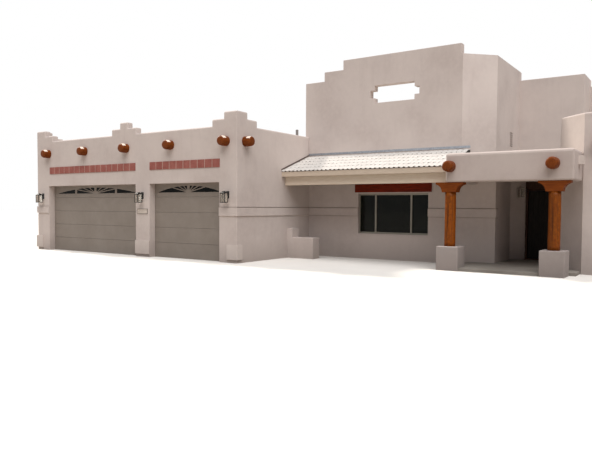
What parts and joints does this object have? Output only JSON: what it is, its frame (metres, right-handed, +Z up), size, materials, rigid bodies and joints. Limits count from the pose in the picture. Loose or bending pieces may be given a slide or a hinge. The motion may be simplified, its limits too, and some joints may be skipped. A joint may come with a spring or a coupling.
{
  "type": "adobe house with attached garage",
  "caption": "Pueblo-revival adobe house with stepped parapets, log ends, a two-door garage, a log portico and a tiled porch roof.",
  "frame": {"origin": "ground level at the middle of the house in plan", "axes": "+X to the right along the garage front, +Y from the street into the house, +Z up"},
  "size_m": [24.59, 12.58, 6.615],
  "materials": {
    "beam_wood": "oiled sawn pine",
    "concrete": "trowelled concrete",
    "dark_wood": "dark red-brown stain",
    "door_frame_wood": "dark brown stain",
    "door_light_glass": "clear glass",
    "door_paint": "dark satin paint",
    "fascia_wood": "dark brown stain",
    "flashing_metal": "dull grey sheet",
    "frame_paint": "satin beige paint",
    "garage_door_paint": "satin beige paint",
    "hardware_metal": "black satin",
    "lantern_glass": "seeded pale glass",
    "lantern_metal": "black satin paint",
    "log_wood": "oiled peeled pine",
    "plaque_ceramic": "plain glazed tile",
    "red_tile": "matt red clay",
    "roof_deck": "gravelled flat roofing",
    "roof_tile": "sun-bleached clay barrel tile",
    "stucco": "matt sanded stucco over adobe",
    "vent_metal": "weathered sheet",
    "window_glass": "clear glass"
  },
  "bodies": {
    "house": {"back_wall": "stucco", "door_hinges": "hardware_metal", "double_garage_door": "garage_door_paint", "eave_beam": "stucco", "entry_door_frame": "door_frame_wood", "entry_header": "stucco", "entry_left_wall": "stucco", "entry_splay_walls": "stucco", "garage_back_wall": "stucco", "garage_door_lights": "door_light_glass", "garage_floor": "concrete", "garage_header": "stucco", "garage_left_wall": "stucco", "garage_piers": "stucco", "garage_right_wall": "stucco", "garage_roof": "roof_deck", "house_floor": "concrete", "lantern_frames": "lantern_metal", "lantern_glass": "lantern_glass", "log_ends": "log_wood", "main_front_wall": "stucco", "middle_block_wall": "stucco", "number_plaque": "plaque_ceramic", "planter_wall": "stucco", "porch_fascia": "fascia_wood", "porch_floor": "concrete", "porch_roof": "roof_deck", "porch_roof_deck": "fascia_wood", "portico_columns": "log_wood", "portico_corbels": "beam_wood", "portico_front_beam": "stucco", "portico_pedestals": "stucco", "portico_side_beams": "stucco", "rain_spout": "vent_metal", "rear_block_wall": "stucco", "roof_flashing": "flashing_metal", "roof_tiles": "roof_tile", "single_garage_door": "garage_door_paint", "tile_bands": "red_tile", "tower_left_wall": "stucco", "tower_right_wall": "stucco", "upper_roof": "roof_deck", "vent_pipe": "vent_metal", "window_frames": "frame_paint", "window_glass": "window_glass", "wing_corner_wall": "stucco", "wing_front_wall": "stucco", "wing_left_wall": "stucco", "wing_right_wall": "stucco", "wing_roof": "roof_deck", "wooden_lintels": "dark_wood"},
    "entry_door_leaf": {"entry_door": "door_paint", "door_hardware": "hardware_metal"}
  },
  "joints": [
    {"name": "entry_door_hinge", "type": "hinge", "parent": "house", "child": "entry_door_leaf", "pos_m": [4.8975, 0.179, 1.1], "axis": [0, 0, 1], "range_deg": [0, 100]}
  ]
}
